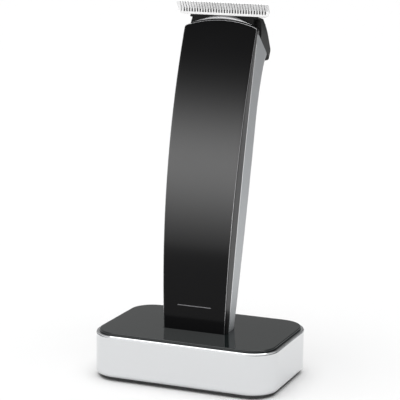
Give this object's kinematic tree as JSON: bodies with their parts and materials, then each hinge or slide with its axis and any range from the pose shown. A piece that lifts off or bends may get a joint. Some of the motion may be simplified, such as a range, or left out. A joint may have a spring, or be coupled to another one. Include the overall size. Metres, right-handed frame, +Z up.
{
  "type": "body groomer",
  "caption": "Body groomer standing in its charging base: a slim leaning handset with a wide toothed blade, in a low rounded stand with a metal band and a glossy black top.",
  "frame": {"origin": "centre of the charging base's outline, on the plane that its feet stand on", "axes": "+Z up; -Y is the front, where the glossy cover faces; +X is to the right seen from the front"},
  "size_m": [0.086, 0.068, 0.1668],
  "materials": {
    "band_metal": "satin",
    "top_gloss": "polished, mirror-like",
    "cover_gloss": "polished",
    "black_satin": "satin",
    "silver_plastic": "metallic, satin",
    "trim_metal": "polished",
    "blade_steel": "brushed across the teeth",
    "cutter_steel": "ground",
    "black_matte": "fine grain",
    "inlet_black": "smooth",
    "foot_rubber": "matt",
    "screw_steel": "zinc plated",
    "ballast_steel": "raw",
    "contact_brass": "plated",
    "spring_steel": "drawn wire and strip",
    "board_green": "solder mask",
    "chip_black": "moulded",
    "frame_plastic": "moulded",
    "cell_wrap": "wrapped",
    "motor_steel": "plated",
    "motor_cap_white": "moulded",
    "crank_plastic": "moulded",
    "lens_clear": "clear"
  },
  "bodies": {
    "base": {"base_band": "band_metal", "base_top_plate": "top_gloss", "base_tray": "black_matte", "bottom_plate": "black_matte", "foot_front_left": "foot_rubber", "foot_front_right": "foot_rubber", "foot_rear_left": "foot_rubber", "foot_rear_right": "foot_rubber", "foot_middle": "foot_rubber", "base_screw_front_left": "screw_steel", "base_screw_front_right": "screw_steel", "base_screw_rear_left": "screw_steel", "base_screw_rear_right": "screw_steel", "ballast_left": "ballast_steel", "ballast_right": "ballast_steel", "charging_board": "board_green", "charging_inlet": "inlet_black", "inlet_contact": "contact_brass", "contact_block": "black_matte", "contact_spring_left": "spring_steel", "contact_spring_right": "spring_steel"},
    "handset": {"front_cover": "cover_gloss", "front_shell": "black_satin", "bottom_cap": "black_satin", "rear_housing": "silver_plastic", "shoulder_trim": "trim_metal", "cap_screw_left": "screw_steel", "cap_screw_right": "screw_steel", "contact_pad_left": "contact_brass", "contact_pad_right": "contact_brass", "motor_bush": "contact_brass", "head_clip_left": "spring_steel", "head_clip_right": "spring_steel", "battery_strip": "spring_steel", "circuit_board": "board_green", "charge_chip": "chip_black", "motor_driver": "chip_black", "switch_body": "chip_black", "inner_frame": "frame_plastic", "battery_cell_left": "cell_wrap", "battery_cell_right": "cell_wrap", "motor_can": "motor_steel", "motor_end_cap": "motor_cap_white", "status_lens": "lens_clear"},
    "head": {"head_carrier": "black_satin", "fixed_blade": "blade_steel", "blade_spring": "spring_steel", "blade_screw_left": "screw_steel", "blade_screw_right": "screw_steel"},
    "cutter": {"moving_blade": "cutter_steel", "drive_fork": "crank_plastic"},
    "rotor": {"motor_shaft": "motor_steel", "crank": "crank_plastic"},
    "switch": {"switch_knob": "black_satin"},
    "contact_pin_left": {"contact_pin_left": "contact_brass"},
    "contact_pin_right": {"contact_pin_right": "contact_brass"}
  },
  "joints": [
    {"name": "handset_lift", "type": "slide", "parent": "base", "child": "handset", "axis": [0, 0.1736, 0.9848], "range_m": [0, 0.045]},
    {"name": "head_release", "type": "slide", "parent": "handset", "child": "head", "axis": [0, 0.1736, 0.9848], "range_m": [0, 0.025]},
    {"name": "cutter_slide", "type": "slide", "parent": "head", "child": "cutter", "axis": [1, 0, 0], "range_m": [-0.0007, 0.0007]},
    {"name": "rotor_spin", "type": "hinge", "parent": "handset", "child": "rotor", "pos_m": [0, 0.01762, 0.1195], "axis": [0, 0.1736, 0.9848], "continuous": true},
    {"name": "switch_slide", "type": "slide", "parent": "handset", "child": "switch", "axis": [0, 0.1736, 0.9848], "range_m": [0, 0.005]},
    {"name": "contact_left_press", "type": "slide", "parent": "base", "child": "contact_pin_left", "axis": [0, 0.1736, 0.9848], "range_m": [-0.0008, 0], "stiffness_N_per_m": 150, "springref_m": 0.0005, "deforming": ["contact_spring_left"]},
    {"name": "contact_right_press", "type": "slide", "parent": "base", "child": "contact_pin_right", "axis": [0, 0.1736, 0.9848], "range_m": [-0.0008, 0], "stiffness_N_per_m": 150, "springref_m": 0.0005, "deforming": ["contact_spring_right"]}
  ]
}
